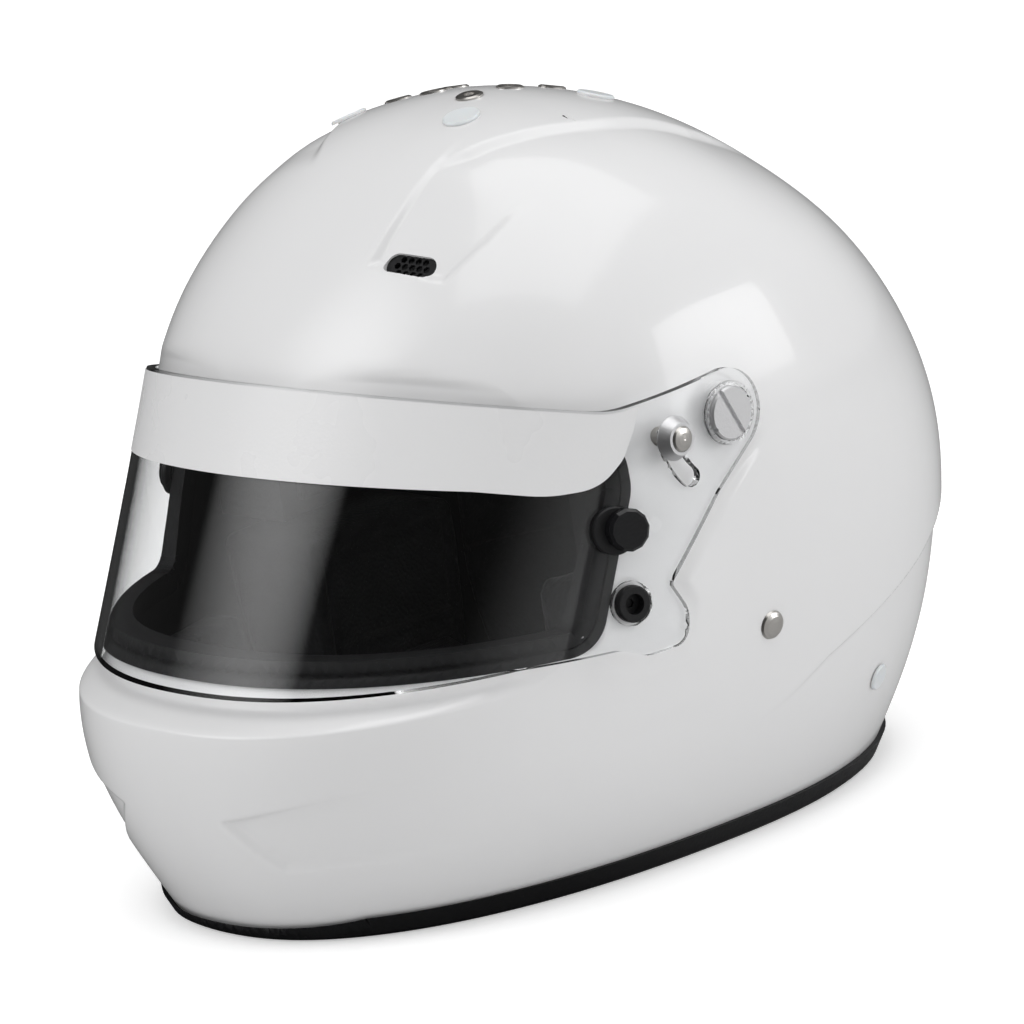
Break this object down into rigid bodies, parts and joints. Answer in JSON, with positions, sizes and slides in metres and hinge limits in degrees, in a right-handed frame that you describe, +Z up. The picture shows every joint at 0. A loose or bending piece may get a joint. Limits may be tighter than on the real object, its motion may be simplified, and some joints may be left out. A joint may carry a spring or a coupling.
{
  "type": "auto racing helmet",
  "caption": "Full-face auto racing helmet: white moulded shell, clear tilting visor with a white sun strip, rubber eyeport gasket and base trim, and padded lining with chin straps.",
  "frame": {"origin": "centre of the model's bounding box, on the floor plane that the base trim's flat underside rests on", "axes": "+Z up; -Y the way the wearer faces; +X the wearer's left"},
  "size_m": [0.269, 0.3434, 0.266],
  "materials": {
    "shell_gelcoat": "gloss white gel-coat over a moulded composite shell",
    "black_rubber": "matt black rubber",
    "clear_sheet": "clear polycarbonate sheet",
    "white_film": "white adhesive film",
    "bright_aluminium": "bright turned aluminium",
    "stainless": "polished stainless steel",
    "dark_steel": "black oxide steel",
    "black_plastic": "black moulded plastic",
    "black_gloss": "gloss black",
    "white_plug": "white moulded plug",
    "black_foam": "black expanded foam",
    "black_fabric": "black flame-resistant knit",
    "webbing": "black woven webbing"
  },
  "bodies": {
    "helmet": {"shell": "shell_gelcoat", "base_trim": "black_rubber", "eyeport_gasket": "black_rubber", "pivot_screws": "bright_aluminium", "pivot_nuts": "dark_steel", "stop_studs": "stainless", "friction_nuts": "bright_aluminium", "lock_posts": "black_plastic", "lock_screws": "dark_steel", "eps_liner": "black_foam", "comfort_liner": "black_fabric", "cheek_pad_left": "black_fabric", "cheek_pad_right": "black_fabric", "chin_foam": "black_foam", "neck_roll": "black_fabric", "chin_strap_left": "webbing", "chin_strap_right": "webbing", "strap_anchors": "dark_steel", "strap_rivets": "stainless", "strap_snap": "black_gloss", "brow_vent": "black_plastic", "crown_eyelets": "stainless", "crown_plugs": "white_plug", "rear_plugs": "white_plug"},
    "visor_body": {"visor": "clear_sheet", "sun_strip": "white_film", "tearoff_bases": "black_plastic", "tearoff_nuts": "dark_steel"},
    "knob_left_body": {"tearoff_knob_left": "black_gloss"},
    "knob_right_body": {"tearoff_knob_right": "black_gloss"},
    "ring_outer_body": {"d_ring_outer": "stainless"},
    "ring_inner_body": {"d_ring_inner": "stainless"}
  },
  "joints": [
    {"name": "visor_tilt", "type": "hinge", "parent": "helmet", "child": "visor_body", "pos_m": [0, -0.005, 0.1605], "axis": [-1, 0, 0], "range_deg": [0, 36], "deforming": ["lock_posts"]},
    {"name": "knob_left_turn", "type": "hinge", "parent": "visor_body", "child": "knob_left_body", "pos_m": [0.12116, -0.057, 0.1315], "axis": [0.9392, -0.3307, 0.0924], "continuous": true},
    {"name": "knob_right_turn", "type": "hinge", "parent": "visor_body", "child": "knob_right_body", "pos_m": [-0.12116, -0.057, 0.1315], "axis": [-0.9392, -0.3307, 0.0924], "continuous": true},
    {"name": "ring_outer_swing", "type": "hinge", "parent": "helmet", "child": "ring_outer_body", "pos_m": [0.0586, 0.009, 0.0327], "axis": [0, 1, 0], "range_deg": [-6, 0]},
    {"name": "ring_inner_swing", "type": "hinge", "parent": "helmet", "child": "ring_inner_body", "pos_m": [0.0534, 0.009, 0.0327], "axis": [0, 1, 0], "range_deg": [0, 70]}
  ]
}
